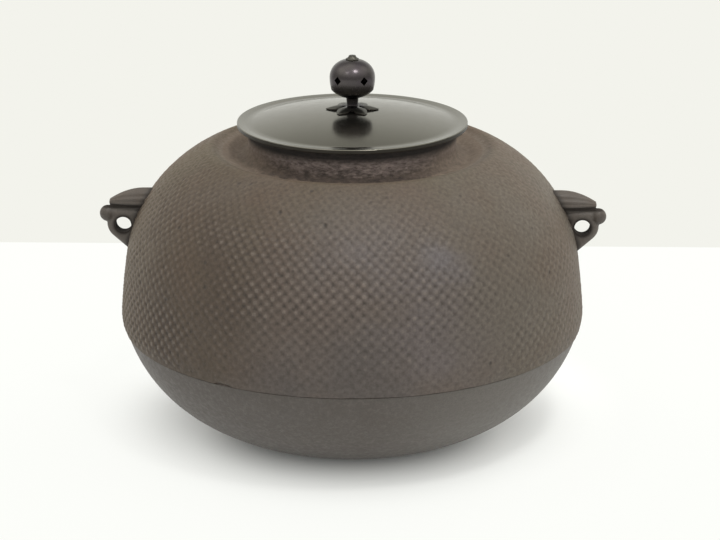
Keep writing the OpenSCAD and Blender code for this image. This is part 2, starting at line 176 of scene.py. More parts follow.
# Cast iron with a brown lacquer skin: a matt, gritty face, brown to olive in soft clouds,
# lighter on the bump tops (rubbed, and a painted highlight) and dark in the hollows (dirt and painted shade) and
# blow holes
arareIronLook = {
    "brown": "#4f4133", "olive": "#4e4432", "grey": "#52483d", "hollow": "#322923", "rubbedAndLitTop": "#6c6259",
    "hole": "#2a221d", "patina": "#322824", "neck": "#7c706a", "paintedShade": "#140f0c", "scoop": "#6f6255",
    "patches": [((0.015, -0.115, 0.083), 0.045, 0.096, "#554d4a"),   # m: the front is rubbed greyer, the left is darker, its own browner tone and painted shade, the right is paler, the far left is paler, painted light grazing its edge, a scuff beside the front is greyer and the hip low on the front is darker, painted shade
                ((-0.09, -0.084, 0.108), 0.03, 0.1, "#43372c"),      # the left is smoked darker,
                ((0.098, -0.05, 0.11), 0.04, 0.1, "#544c42"),        # the right is dusted paler,
                ((-0.119, -0.032, 0.1), 0.015, 0.055, "#5a5043"),    # so is the far left,
                ((0.05, -0.099, 0.126), 0.003, 0.022, "#575150"),    # a scuff beside the front is greyer
                ((0.0, -0.125, 0.058), 0.02, 0.055, "#47403b")],     # and the hip over the fire is dark again
    "uneven": 0.012, "wander": 0.0018,                               # m, how far edges of patches and rings stray
    "cloudSize": 46, "greySize": 27, "holeSpacing": 7.5,             # mm
    "mottle": 2.3, "grit": 1.8,                                      # mm, both drawn coarse to show
    "greyShift": (3.1, 1.7, 5.3), "ringStretch": (0.6, 0.6, 1.7),
    "front": {1: -0.03, 2: -0.05, 3: 0.3},                           # m along Y: the neck's painted light and shade, its patina and its mottling are full at the front and fade towards the back
    "scoopAt": {1: 0.0725, 2: 0.068, 4: 0.85}, "mottleAt": {1: 0.0675, 2: 0.0645},   # m from the axis
    "patinaAt": {1: 0.062, 2: 0.059, 4: 0.78}, "neckWall": {1: 0.0585, 2: 0.0575},
    "litNeckAt": {1: 0.1545, 2: 0.16}, "underLidShadeAt": {1: 0.1598, 2: 0.1638, 4: 0.95},       # m above the ground
    "hollowDirtShadeShare": {1: 0.52, 2: 0.0, 4: 0.9}, "high": {1: 0.68, 2: 1.0, 4: 0.55},           # of the relief
    "holeChance": {1: 0.62, 2: 0.86}, "holeEdge": {1: 0.18, 2: 0.05, 4: 0.8},
}
look = arareIronLook
arareIron, tree, shader, place = startMaterial("arareCastIron")
cloud = addNode(tree, "TexNoise", {"Vector": place, "Scale": perMetre(look["cloudSize"]), "Detail": 4.0})
cloud = addNode(tree, "MapRange", {"Value": cloud, 1: 0.36, 2: 0.64}, interpolation_type="SMOOTHSTEP")
colour = addNode(tree, "Mix", {0: cloud, 6: linear(look["brown"]), 7: linear(look["olive"])}, data_type="RGBA")
moved = addNode(tree, "Mapping", {"Vector": place, "Location": look["greyShift"]})
grey = addNode(tree, "TexNoise", {"Vector": moved, "Scale": perMetre(look["greySize"]), "Detail": 5.0})
uneven = addNode(tree, "MapRange", {"Value": grey, **noiseSpan, 3: -look["uneven"], 4: look["uneven"]})
grey = addNode(tree, "MapRange", {"Value": grey, 1: 0.45, 2: 0.7, 4: 0.8})
layers = [(grey, look["grey"])]
thin = addNode(tree, "MapRange", {"Value": cloud, 3: 0.45, 4: 0.95})
for middle, core, reach, tone in look["patches"]:
    away = addNode(tree, "VectorMath", {0: place, 1: middle}, operation="DISTANCE")
    away = addNode(tree, "Math", {0: away, 1: uneven}, operation="ADD")
    near = addNode(tree, "MapRange", {"Value": away, 1: reach, 2: core}, interpolation_type="SMOOTHSTEP")
    layers.append((addNode(tree, "Math", {0: near, 1: thin}, operation="MULTIPLY"), tone))
relief = addNode(tree, "Attribute", {}, "Fac", attribute_name="relief")
# the lowest parts of the relief take a dark colour: dirt, and painted shade in the hollows
hollowDirtShadeShare = addNode(tree, "MapRange", {"Value": relief, **look["hollowDirtShadeShare"]})
# the tallest part of each bump takes a paler colour: real rubbing, and a painted highlight
high = addNode(tree, "MapRange", {"Value": relief, **look["high"]})
hole = addNode(tree, "TexVoronoi", {"Vector": moved, "Scale": perMetre(look["holeSpacing"])})
isHole = addNode(tree, "SeparateColor", {"Color": hole.node.outputs["Color"]})
isHole = addNode(tree, "MapRange", {"Value": isHole, **look["holeChance"]})
hole = addNode(tree, "MapRange", {"Value": hole, **look["holeEdge"]})
hole = addNode(tree, "Math", {0: hole, 1: isHole}, operation="MULTIPLY")
flat = addNode(tree, "VectorMath", {0: place, 1: (1, 1, 0)}, operation="MULTIPLY")
radius = addNode(tree, "VectorMath", {0: flat}, operation="LENGTH")
axes = addNode(tree, "SeparateXYZ", {0: place}).node.outputs
ringWise = addNode(tree, "Mapping", {"Vector": place, "Scale": look["ringStretch"]})
ragged = addNode(tree, "TexNoise", {"Vector": ringWise, "Scale": perMetre(look["mottle"]), "Detail": 4.0,
                                    "Roughness": 0.7})
wander = addNode(tree, "MapRange", {"Value": ragged, 1: 0.25, 2: 0.75, 3: -look["wander"], 4: look["wander"]})
# painted light: the scoop round the neck takes a paler colour, and is roughened
paleTone = addNode(tree, "MapRange", {"Value": radius, **look["scoopAt"]})
frontal = addNode(tree, "MapRange", {"Value": axes["Y"], **look["front"]})
# the ring at the neck's foot is dark, strongest at the front: patina, and painted shade in the channel
patina = addNode(tree, "Math", {0: radius, 1: wander}, operation="ADD")
patina = addNode(tree, "MapRange", {"Value": patina, **look["patinaAt"]})
patina = addNode(tree, "Math", {0: patina, 1: frontal}, operation="MULTIPLY")
# painted light: the neck wall under the lid takes a paler colour, strongest at the front
litNeckBand = addNode(tree, "Math", {0: axes["Z"], 1: wander}, operation="ADD")
litNeckBand = addNode(tree, "MapRange", {"Value": litNeckBand, **look["litNeckAt"]})
neckWall = addNode(tree, "MapRange", {"Value": radius, **look["neckWall"]})
litNeckBand = addNode(tree, "Math", {0: litNeckBand, 1: neckWall}, operation="MULTIPLY")
litNeckBand = addNode(tree, "Math", {0: litNeckBand, 1: frontal}, operation="MULTIPLY")
# painted shadow: the top of the neck under the lid's overhang is nearly black
underLidShade = addNode(tree, "MapRange", {"Value": axes["Z"], **look["underLidShadeAt"]})
layers += [(hollowDirtShadeShare, look["hollow"]), (high, look["rubbedAndLitTop"]), (hole, look["hole"]), (paleTone, look["scoop"]),
           (patina, look["patina"]), (litNeckBand, look["neck"]), (underLidShade, look["paintedShade"])]
for share, tone in layers:
    colour = addNode(tree, "Mix", {0: share, 6: colour, 7: linear(tone)}, data_type="RGBA")
grit = addNode(tree, "TexNoise", {"Vector": place, "Scale": perMetre(look["grit"]), "Detail": 3.0, "Roughness": 0.6})
shade = addNode(tree, "MapRange", {"Value": grit, **noiseSpan, 3: 0.82, 4: 1.18})
mottled = addNode(tree, "MapRange", {"Value": ragged, 1: 0.35, 2: 0.65, 3: 0.5, 4: 1.5})
byNeck = addNode(tree, "MapRange", {"Value": radius, **look["mottleAt"]})
byNeck = addNode(tree, "Math", {0: byNeck, 1: frontal}, operation="MULTIPLY")
mottled = addNode(tree, "Mix", {0: byNeck, 2: 1.0, 3: mottled})
shade = addNode(tree, "Math", {0: shade, 1: mottled}, operation="MULTIPLY")
colour = addNode(tree, "HueSaturation", {"Color": colour, "Value": shade})
rough = addNode(tree, "MapRange", {"Value": grit, **noiseSpan, 3: 0.7, 4: 0.52})
rough = addNode(tree, "Math", {0: rough, 1: paleTone}, operation="MAXIMUM")
bump = addNode(tree, "Bump", {"Height": grit, "Distance": 0.00035, "Strength": 0.6})
bump = addNode(tree, "Bump", {"Height": hole, "Distance": 0.0005, "Strength": 0.8, "Normal": bump}, invert=True)
setSockets(tree, shader, {"Base Color": colour, "Roughness": rough, "Normal": bump})

# Cast iron of the renewed bottom: scraped smooth, greyer, a little less matt, with faint clouds and a painted light
# on its right front
bottomIronLook = {
    "grey": "#4a443f", "brown": "#47403a", "pale": "#57514b", "cloudSize": 34, "grit": 0.9, "speck": 2.4,   # mm
    "paintedLight": "#57524c", "paintedLightMiddle": (0.08, -0.075, 0.042), "paintedLightAt": {1: 0.085, 2: 0.015},                     # m
}
look = bottomIronLook
bottomIron, tree, shader, place = startMaterial("scrapedCastIron")
colour = clouded(tree, place, look["cloudSize"], 5.0, look["grey"], look["brown"], 0.35, 0.65)
away = addNode(tree, "VectorMath", {0: place, 1: look["paintedLightMiddle"]}, operation="DISTANCE")
near = addNode(tree, "MapRange", {"Value": away, **look["paintedLightAt"]}, interpolation_type="SMOOTHSTEP")
colour = addNode(tree, "Mix", {0: near, 6: colour, 7: linear(look["paintedLight"])}, data_type="RGBA")
speck = addNode(tree, "TexNoise", {"Vector": place, "Scale": perMetre(look["speck"]), "Detail": 3.0})
speckle = addNode(tree, "MapRange", {"Value": speck, 1: 0.52, 2: 0.7, 4: 0.4})
colour = addNode(tree, "Mix", {0: speckle, 6: colour, 7: linear(look["pale"])}, data_type="RGBA")
grit = addNode(tree, "TexNoise", {"Vector": place, "Scale": perMetre(look["grit"]), "Detail": 2.0})
shade = addNode(tree, "MapRange", {"Value": grit, **noiseSpan, 3: 0.88, 4: 1.12})
colour = addNode(tree, "HueSaturation", {"Color": colour, "Value": shade})
rough = addNode(tree, "MapRange", {"Value": speck, **noiseSpan, 3: 0.6, 4: 0.46})
bump = addNode(tree, "Bump", {"Height": grit, "Distance": 0.0002, "Strength": 0.5})
bump = addNode(tree, "Bump", {"Height": speck, "Distance": 0.0003, "Strength": 0.4, "Normal": bump})
setSockets(tree, shader, {"Base Color": colour, "Roughness": rough, "Normal": bump})

# Bare iron inside the kettle: even brown rust and scale from boiled water, fully matt
insideIronLook = {"rust": "#4a372c", "scale": "#5d4a3c", "dark": "#33271f", "patch": 14, "grain": 1.6}   # mm
look = insideIronLook
insideIron, tree, shader, place = startMaterial("rustedIron")
colour = clouded(tree, place, look["patch"], 6.0, look["rust"], look["scale"], 0.35, 0.68)
grain = addNode(tree, "TexNoise", {"Vector": place, "Scale": perMetre(look["grain"]), "Detail": 4.0})
grainDark = addNode(tree, "MapRange", {"Value": grain, 1: 0.55, 2: 0.35, 4: 0.7})
colour = addNode(tree, "Mix", {0: grainDark, 6: colour, 7: linear(look["dark"])}, data_type="RGBA")
bump = addNode(tree, "Bump", {"Height": grain, "Distance": 0.0004, "Strength": 0.7})
setSockets(tree, shader, {"Base Color": colour, "Roughness": 0.85, "Normal": bump})

# Cast iron of the lugs: the same brown skin, rubbed greyer and smoother by the rings, with painted shade in its
# creases
lugIronLook = {"brown": "#4c433b", "grey": "#514a43", "creaseShade": "#221c17", "cloudSize": 11, "grit": 0.8}   # mm
look = lugIronLook
lugIron, tree, shader, place = startMaterial("rubbedCastIron")
colour = clouded(tree, place, look["cloudSize"], 4.0, look["brown"], look["grey"], 0.36, 0.64)
creaseShade = addNode(tree, "Attribute", {}, "Fac", attribute_name="creaseShade")
colour = addNode(tree, "Mix", {0: creaseShade, 6: colour, 7: linear(look["creaseShade"])}, data_type="RGBA")
grit = addNode(tree, "TexNoise", {"Vector": place, "Scale": perMetre(look["grit"]), "Detail": 3.0})
shade = addNode(tree, "MapRange", {"Value": grit, **noiseSpan, 3: 0.9, 4: 1.1})
colour = addNode(tree, "HueSaturation", {"Color": colour, "Value": shade})
rough = addNode(tree, "MapRange", {"Value": grit, **noiseSpan, 3: 0.6, 4: 0.45})
rough = addNode(tree, "Math", {0: rough, 1: creaseShade}, operation="MAXIMUM")
bump = addNode(tree, "Bump", {"Height": grit, "Distance": 0.0002, "Strength": 0.5})
setSockets(tree, shader, {"Base Color": colour, "Roughness": rough, "Normal": bump})

# Bronze with a dark lacquered patina, turned and rubbed to a satin gloss: it mirrors the room dimly
lidBronzeLook = {"patina": "#6e6c63", "paleTone": "#747168", "cloudSize": 30, "haze": 5}   # mm
look = lidBronzeLook
lidBronze, tree, shader, place = startMaterial("patinatedBronze")
colour = clouded(tree, place, look["cloudSize"], 3.0, look["patina"], look["paleTone"])
haze = addNode(tree, "TexNoise", {"Vector": place, "Scale": perMetre(look["haze"]), "Detail": 3.0})
rough = addNode(tree, "MapRange", {"Value": haze, **noiseSpan, 3: 0.15, 4: 0.21})
setSockets(tree, shader, {"Base Color": colour, "Roughness": rough, "Metallic": 0.97})

# Cast bronze of the knob: darker, softer sheen from handling, and painted shade that makes its neck and the foot of
# its ball almost black
knobBronzeLook = {
    "patina": "#4b4649", "paleTone": "#565251", "cloudSize": 7, "grit": 0.7,   # mm
    "neckShade": {1: 0.184, 2: 0.190, 3: 0.5, 4: 1.0}, "neckShadeFoot": {1: 0.1788, 2: 0.1775, 3: 0.5, 4: 0.9},   # m up
}
look = knobBronzeLook
knobBronze, tree, shader, place = startMaterial("castBronze")
colour = clouded(tree, place, look["cloudSize"], 4.0, look["patina"], look["paleTone"], 0.4, 0.65)
grit = addNode(tree, "TexNoise", {"Vector": place, "Scale": perMetre(look["grit"]), "Detail": 2.0})
rough = addNode(tree, "MapRange", {"Value": grit, **noiseSpan, 3: 0.22, 4: 0.28})
bump = addNode(tree, "Bump", {"Height": grit, "Distance": 0.00006, "Strength": 0.35})
# painted shade: darker between the foot and the lower ball, by height
height = addNode(tree, "SeparateXYZ", {0: place}, "Z")
upper = addNode(tree, "MapRange", {"Value": height, **look["neckShade"]})
lower = addNode(tree, "MapRange", {"Value": height, **look["neckShadeFoot"]})
neckShade = addNode(tree, "Math", {0: upper, 1: lower}, operation="MAXIMUM")
colour = addNode(tree, "HueSaturation", {"Color": colour, "Value": neckShade})
setSockets(tree, shader, {"Base Color": colour, "Roughness": rough, "Metallic": 1.0, "Normal": bump})


def plainBronze(name, look):  # two tones of one patina, evenly rubbed
    material, tree, shader, place = startMaterial(name)
    colour = clouded(tree, place, look["cloudSize"], look["detail"], look["patina"], look["paleTone"])
    setSockets(tree, shader, {"Base Color": colour, "Roughness": look["rough"], "Metallic": 1.0})
    return material


# The lid's bronze on the upright faces of its edge, never polished: dull, and dark as painted shade
shadedEdgeBronzeLook = {"patina": "#322f2b", "paleTone": "#403d38", "cloudSize": 9, "detail": 3.0, "rough": 0.38}
shadedEdgeBronze = plainBronze("dullShadedBronze", shadedEdgeBronzeLook)

# Chased bronze of the petals and the crown: the knob's patina, rubbed to a soft even sheen; on the petals' upper
# sides its paler tone is painted light
petalBronzeLook = {"patina": "#4b4944", "paleTone": "#605e57", "cloudSize": 3, "detail": 2.0, "rough": 0.4}
petalBronze = plainBronze("chasedBronze", petalBronzeLook)


def fleckedIron(name, look):  # flecks of a second tone, which also roughen the face
    material, tree, shader, place = startMaterial(name)
    grain = addNode(tree, "TexNoise", {"Vector": place, "Scale": perMetre(look["size"]), "Detail": look["detail"]})
    fleck = addNode(tree, "MapRange", {"Value": grain, **look["fleckAt"]})
    colour = addNode(tree, "Mix", {0: fleck, 6: linear(look["ground"]), 7: linear(look["fleck"])}, data_type="RGBA")
    bump = addNode(tree, "Bump", {"Height": grain, "Distance": look["depth"], "Strength": look["strength"]})
    setSockets(tree, shader, {"Base Color": colour, "Roughness": look["rough"], "Normal": bump})
    return material


# Iron and lacquer putty in the seam: brown black, grainy and dull
puttyLook = {"ground": "#443a32", "fleck": "#63574d", "size": 0.8, "detail": 3.0, "fleckAt": {1: 0.5, 2: 0.7},
             "depth": 0.0003, "strength": 0.6, "rough": 0.75}
seamPutty = fleckedIron("ironPutty", puttyLook)

# Forged iron of the sound plates: grey scale with rust at random, matt
plateIronLook = {"ground": "#4b4641", "fleck": "#6b4a34", "size": 6, "detail": 5.0, "fleckAt": {1: 0.5, 2: 0.65},
                 "depth": 0.0004, "strength": 0.5, "rough": 0.65}
plateIron = fleckedIron("forgedIron", plateIronLook)

# Raw tree lacquer under the plates: brown black with a half gloss, uneven where it was brushed
lacquerLook = {"black": "#1c120f", "brown": "#2b1a14", "brush": 4}   # mm
look = lacquerLook
plateLacquer, tree, shader, place = startMaterial("rawLacquer")
brush = addNode(tree, "TexNoise", {"Vector": place, "Scale": perMetre(look["brush"]), "Detail": 3.0})
colour = addNode(tree, "Mix", {0: brush, 6: linear(look["black"]), 7: linear(look["brown"])}, data_type="RGBA")
rough = addNode(tree, "MapRange", {"Value": brush, **noiseSpan, 3: 0.28, 4: 0.42})
setSockets(tree, shader, {"Base Color": colour, "Roughness": rough})

carriedOver = {"seam_putty": seamPutty, "lid_ring": lidBronze, "knob_rivet": knobBronze, "knob_washer": lidBronze}
for i in range(1, 6):
    carriedOver["sound_plate_%d" % i] = plateIron
    carriedOver["plate_lacquer_%d" % i] = plateLacquer
for node, material in carriedOver.items():
    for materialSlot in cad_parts[node].material_slots:
        materialSlot.material = material
print("materials made")


# The body: a turned shell whose outside is laid out in a slanting net of bumps
bodyShape = {
    "columns": 122, "flankRows": 5, "shoulderRows": 13,
    "lapRadius": 120.8, "seamHeight": 60.5, "skirtRadius": 122.814, "hip": (123.989, 66.79), "sunk": 0.27,
    "flankCentre": (-434.507, 25.78), "flankRound": 560, "flankTurn": 3.1, "flankTop": 96.936,
    "shoulderCentre": (45.303, 87.245), "shoulderFrom": 7.3, "shoulderTurn": 57.7, "shoulderRound": 76.27,
    "crestCentre": (75, 150.93), "crestTurn": 55,
    "scoopStart": (64, 152.662), "scoopCentre": (61, 157.858), "scoopTurn": -120,
    "neckRadius": 55, "lipHeight": 167.53, "mouthRadius": 51, "flare": 1.2, "lipBand": 4, "edge": 0.8,
    "wall": 3.2, "scoopFloor": 151.858,
    # mm: where the net lies, by distance from the axis, facing and height
    "skinFrom": 77.2, "skinFacing": 0.3, "netFrom": 61.5, "netTo": 156,
    # mm: tallest bump, deepest hollow and its reach, height between two bumps, and a bump's slope in half widths
    "bump": 0.45, "pit": 0.45, "pitWide": 2.3, "saddle": 0.05, "slope": (0.1, 0.85),
    "insets": (0.76, 0.8), "insetSizes": 12, "insetRadius": 124,   # mm on the widest row, less on the smaller ones
    # mm and share: the bumps that are left at each height
    "bumpBands": [(60, 0.3), (70, 0.46), (88, 0.66), (97, 0.86), (106, 1.05), (114, 1.0), (122, 0.92),
                  (137, 0.75), (146, 0.5), (157, 0.38)],
    # share lost to the right and left of the front, between degrees from it and below a height in mm
    "rightWear": 0.5, "rightFrom": (14, 42), "leftWear": 0.38, "leftFrom": (29, 38), "leftTo": (42, 52),
    "wearEnd": (95, 140), "leftBelow": (118, 134),
    # share gained low down on the left and right, where the fire didn't reach, in degrees and mm
    "lowGain": (2.2, 1.5), "lowFrom": (34, 48), "lowTo": (80, 96),
    # degrees and mm of the middle, reach in both, share lost
    "scuffs": [(27, 126, 11, 5, 0.7), (0, 131, 5, 5, 0.35), (17, 104, 7, 4, 0.4), (-48, 118, 8, 9, 0.15),
               (-32, 106, 8, 6, 0.3), (-27, 130, 13, 8, -0.5)],
    "scuffEdge": (0.6, 1.1),
    # mm and shares: worn patches, and how far each bump has its own height
    "wearSize": 45, "wearShift": (4.2, 1.1, 7.7), "wearShare": 0.36, "ownSize": 2.3, "ownShare": 0.5,
    "evenShare": 0.95, "leastBump": 0.1, "mostBump": 1.15,
    "sways": [(38, 0.7), (4, 0.32)],   # mm, length and width of the rows' wander
    # mm: the skirt's lower edge and the broken spot on it, at degrees round the axis
    "hemFrom": 121.5, "hemDrop": 0.32, "hemRough": 0.08, "hemWaves": [(9, 0.26), (2.1, 0.14)], "hemLean": 0.5,
    "chipTurn": -120.4, "chipWidth": 4.7, "chipDepth": 1.0, "chipRough": (0.75, 0.5, 1.7), "chipLean": 0.9,
    "chipShade": 0.32,
}
shape = bodyShape
lip, edge, mouth = shape["lipHeight"], shape["edge"], shape["mouthRadius"]
bm = bmesh.new()
relief = bm.verts.layers.float.new("relief")
within = bm.verts.layers.int.new("within")
start = bm.verts.new((shape["lapRadius"], 0, shape["seamHeight"]))
tip = draw(bm, start,
           (shape["skirtRadius"] - shape["sunk"], shape["seamHeight"]),
           (shape["hip"][0] - shape["sunk"], shape["hip"][1]),
           (shape["flankCentre"], shape["flankTurn"], shape["flankRows"]),
           (shape["shoulderCentre"], shape["shoulderTurn"], shape["shoulderRows"]),
           (shape["crestCentre"], shape["crestTurn"], 7),
           shape["scoopStart"],
           (shape["scoopCentre"], shape["scoopTurn"], 8),
           (shape["neckRadius"], lip - shape["lipBand"]),
           (shape["neckRadius"] + shape["flare"], lip - edge),
           (shape["neckRadius"] + shape["flare"] - edge, lip),
           (mouth + edge, lip),
           (mouth, lip - edge))
outside = set(bm.verts)
underNeck = shape["scoopFloor"] - shape["wall"]
inward = math.radians(shape["shoulderFrom"] + shape["shoulderTurn"])
inRound = shape["shoulderRound"] - shape["wall"]
tip = draw(bm, tip,
           (mouth, underNeck + edge),
           (mouth + edge, underNeck),
           (shape["scoopCentre"][0], underNeck),
           (shape["shoulderCentre"][0] + inRound * math.cos(inward),
            shape["shoulderCentre"][1] + inRound * math.sin(inward)),
           (shape["shoulderCentre"], -shape["shoulderTurn"], 10),
           (shape["flankCentre"], -shape["flankTurn"], 3))
bm.edges.new((tip, start))
for vert in bm.verts:
    vert[within] = vert not in outside
turnRound(bm, shape["columns"])

skin = []
for face in bm.faces:
    middle = face.calc_center_median()
    outward = Vector((middle.x, middle.y, 0))
    if outward.length > shape["skinFrom"] and face.normal.dot(outward.normalized()) > shape["skinFacing"]:
        skin.append(face)
    face.material_index = int(all(vert[within] for vert in face.verts))
skinSet = set(skin)
inner = unique(edge for face in skin for edge in face.edges if all(other in skinSet for other in edge.link_faces))
middles = set(bmesh.ops.poke(bm, faces=skin)["verts"])
bmesh.ops.dissolve_edges(bm, edges=inner, use_verts=False)
diamonds = [face for face in bm.faces if len(face.verts) == 4 and any(vert in middles for vert in face.verts)]
cornerSpots = {vert.co.copy().freeze() for face in diamonds for vert in face.verts}
bmesh.ops.bisect_edges(bm, edges=unique(edge for face in diamonds for edge in face.edges), cuts=1)
hem = [edge for edge in bm.edges
       if all(abs(vert.co.z - shape["seamHeight"]) < hair and vert.co.xy.length > shape["hemFrom"]
              for vert in edge.verts)]
bmesh.ops.bisect_edges(bm, edges=hem, cuts=3)
netVerts = {vert for face in diamonds for vert in face.verts}
netCorners = {vert for vert in netVerts if vert.co.copy().freeze() in cornerSpots}
bm.normal_update()


def bumpStrength(spot):  # how much of the bump casting, rust and cleaning have left at this spot
    shape = bodyShape
    bands = shape["bumpBands"]
    level = bands[-1][1]
    for (low, atLow), (high, atHigh) in zip(bands, bands[1:]):
        if spot.z <= high:
            level = atLow + (atHigh - atLow) * max(0, (spot.z - low) / (high - low))
            break
    toRight = math.degrees(math.atan2(spot.x, -spot.y))
    stillWorn = 1 - between(abs(toRight), *shape["wearEnd"])
    level *= 1 - shape["rightWear"] * between(toRight, *shape["rightFrom"]) * stillWorn
    atLeft = between(-toRight, *shape["leftFrom"]) * (1 - between(-toRight, *shape["leftTo"]))
    level *= 1 - shape["leftWear"] * atLeft * (1 - between(spot.z, *shape["leftBelow"]))
    gain = shape["lowGain"][toRight > 0] * between(abs(toRight), *shape["lowFrom"]) * stillWorn
    level *= 1 + gain * (1 - between(spot.z, *shape["lowTo"]))
    for turn, height, wide, tall, share in shape["scuffs"]:
        away = math.hypot((toRight - turn) / wide, (spot.z - height) / tall)
        level *= 1 - share * (1 - between(away, *shape["scuffEdge"]))
    cloudy = noise.fractal(spot / shape["wearSize"] + Vector(shape["wearShift"]), 1.0, 2.0, 3)
    own = noise.noise(spot / shape["ownSize"])
    level *= shape["evenShare"] + shape["wearShare"] * cloudy + shape["ownShare"] * own
    return min(shape["mostBump"], max(shape["leastBump"], level))


def rise(spot, middle, corners, strength):  # height of the skin over its mean, deep where four bumps meet
    shape = bodyShape
    out = (spot - middle).length * len(corners) / sum((corner - middle).length for corner in corners)
    near = min((spot - corner).length for corner in corners) / shape["pitWide"]
    bump = shape["bump"] * (1 - between(out, *shape["slope"]))
    return strength * (bump - shape["pit"] * (1 - between(near, 0, 1)))


evenRelief = 0.5   # the relief runs from 0 in the deepest hollow to 1 on the tallest bump
seats = {}         # where each bump stands, before the net is pressed in and out
for face in diamonds:
    middle = face.calc_center_median()
    corners = [vert.co.copy() for vert in face.verts if vert in netCorners]
    seats[face] = (middle, face.normal.copy(), bumpStrength(middle), corners)
for vert in bm.verts:
    vert[relief] = evenRelief
moves = {}
for vert in netVerts:
    if shape["netFrom"] < vert.co.z < shape["netTo"]:
        strength = bumpStrength(vert.co)
        height = -shape["pit"] if vert in netCorners else shape["saddle"]
        vert[relief] = evenRelief * (1 + strength * height / shape["pit"])
        wander = Vector((0, 0, 0))
        for size, width in shape["sways"]:
            wander += noise.noise_vector(vert.co / size) * width
        wander -= vert.normal * wander.dot(vert.normal)
        moves[vert] = wander + vert.normal * strength * height
for vert, move in moves.items():
    vert.co += move
groups = {}
for face in diamonds:
    size = round(seats[face][0].xy.length / shape["insetRadius"] * shape["insetSizes"])
    groups.setdefault(size, []).append(face)
for size, faces in sorted(groups.items()):
    for inset in shape["insets"]:
        bmesh.ops.inset_individual(bm, faces=faces, thickness=inset * size / shape["insetSizes"],
                                   use_even_offset=True)
        for face in faces:
            middle, normal, strength, corners = seats[face]
            for vert in face.verts:
                flat = vert.co - normal * (vert.co - middle).dot(normal)
                height = rise(flat, middle, corners, strength)
                vert.co = flat + normal * height
                vert[relief] = evenRelief * (1 + height / (shape["bump"] if height > 0 else shape["pit"]))
chipAngle = math.radians(shape["chipTurn"])
chipSpot = Vector((math.cos(chipAngle), math.sin(chipAngle))) * shape["skirtRadius"]
steady, rough, roughSize = shape["chipRough"]
for vert in bm.verts:  # the hem of the skirt is ragged, and broken at one spot
    if vert.co.z < shape["seamHeight"] + hair and vert.co.xy.length > shape["hemFrom"]:
        away = (vert.co.xy - chipSpot).length / shape["chipWidth"]
        chip = max(0, 1 - away * away) * (steady + rough * noise.noise(vert.co / roughSize))
        ragged = shape["hemRough"]
        for size, share in shape["hemWaves"]:
            ragged += share * noise.noise(vert.co / size)
        ragged = max(0, ragged)
        vert.co.z += ragged + chip * shape["chipDepth"] - shape["hemDrop"]
        vert.co -= vert.co.xy.to_3d().normalized() * (shape["hemLean"] * ragged + shape["chipLean"] * chip)
        # the broken spot takes the hollows' dark colour, painted shade in the break
        vert[relief] = evenRelief - shape["chipShade"] * chip
makePiece(bm, "ironBody", "kettle", [arareIron, insideIron], ["upper_body"], sharp=75)


# The let-in bottom: a smooth turned bowl with a flat foot
bottomShape = {
    "foot": 35, "bellyCentre": (35, 98.449), "bellyTurn": 36, "riseCentre": (47.467, 81.29), "riseTurn": 38,
    "edge": 0.35, "edgeTurn": 0.35, "spigot": 120.3, "ledge": 60.0, "top": 65.5, "inside": 117.869, "wall": 4,
    "hollowMiddle": 100, "columns": 144,   # mm up, where the faces of the inside look to
}
shape = bottomShape
bm = bmesh.new()
tip = draw(bm, bm.verts.new((0, 0, 0)),
           (shape["foot"] / 2, 0),
           (shape["foot"], 0),
           (shape["bellyCentre"], shape["bellyTurn"], 14),
           (shape["riseCentre"], shape["riseTurn"] - shape["edgeTurn"], 16))
draw(bm, tip,
     (tip.co.x - shape["edge"], shape["ledge"]),
     (shape["spigot"], shape["ledge"]),
     (shape["spigot"], shape["top"]),
     (shape["inside"], shape["top"]),
     (shape["inside"], shape["ledge"]),
     (shape["riseCentre"], -shape["riseTurn"], 10),
     (shape["bellyCentre"], -shape["bellyTurn"], 8),
     (shape["foot"] / 2, shape["wall"]),
     (0, shape["wall"]))
turnRound(bm, shape["columns"])
for face in bm.faces:
    middle = face.calc_center_median()
    fromHollow = middle - Vector((0, 0, shape["hollowMiddle"]))
    face.material_index = int(face.normal.dot(fromHollow) < 0 and middle.z < shape["ledge"])
makePiece(bm, "ironBottom", "kettle", [bottomIron, insideIron], ["bottom_bowl"])


# The ring lugs: a brow over a roll that ends in a bulb, and an ear with a chin below, cast in one
lugShape = {
    "eye": (122.428, 112.9), "eyeRadius": 4.3, "ear": 8.9, "earThick": 7, "chin": (113.128, 97.4),
    "roll": 3.5, "bulb": (130.828, 118.4), "bulbRadius": 4.4, "rollFrom": 106,
    "brow": (110.928, 124.5), "browTip": 129.728, "browWide": 11, "browRise": 8.2, "browEnd": 1.8,
    "browSag": 0.14, "browSteps": 10, "web": 2.6, "webHeight": 123.2, "webTip": 129.3,
    "grain": 0.4, "smoothing": 4, "groove": 0.25, "grooveFrom": (0.3, 1.6), "rootDepth": 1.5,   # mm
    "grooveStep": 30,   # degrees of the fan
    # share of painted shade and mm that it reaches: the fold under the brow, round the eye, at the root, round the
    # bulb
    "foldShade": (0.9, 0.7, 2.3), "foldHeight": 123.0, "eyeShade": (1, 0.2, 2.4), "rootShade": (0.75, 0.2, 3.0),
    "bulbShade": (0.28, 4.2, 6),
}


def addRod(bm, radius, height, fromX, toX):
    rod = bmesh.ops.create_cone(bm, cap_ends=True, segments=32, radius1=radius, radius2=radius,
                                depth=toX - fromX)["verts"]
    turnVerts(bm, rod, 90, "Y")
    bmesh.ops.translate(bm, vec=((fromX + toX) / 2, 0, height), verts=rod)


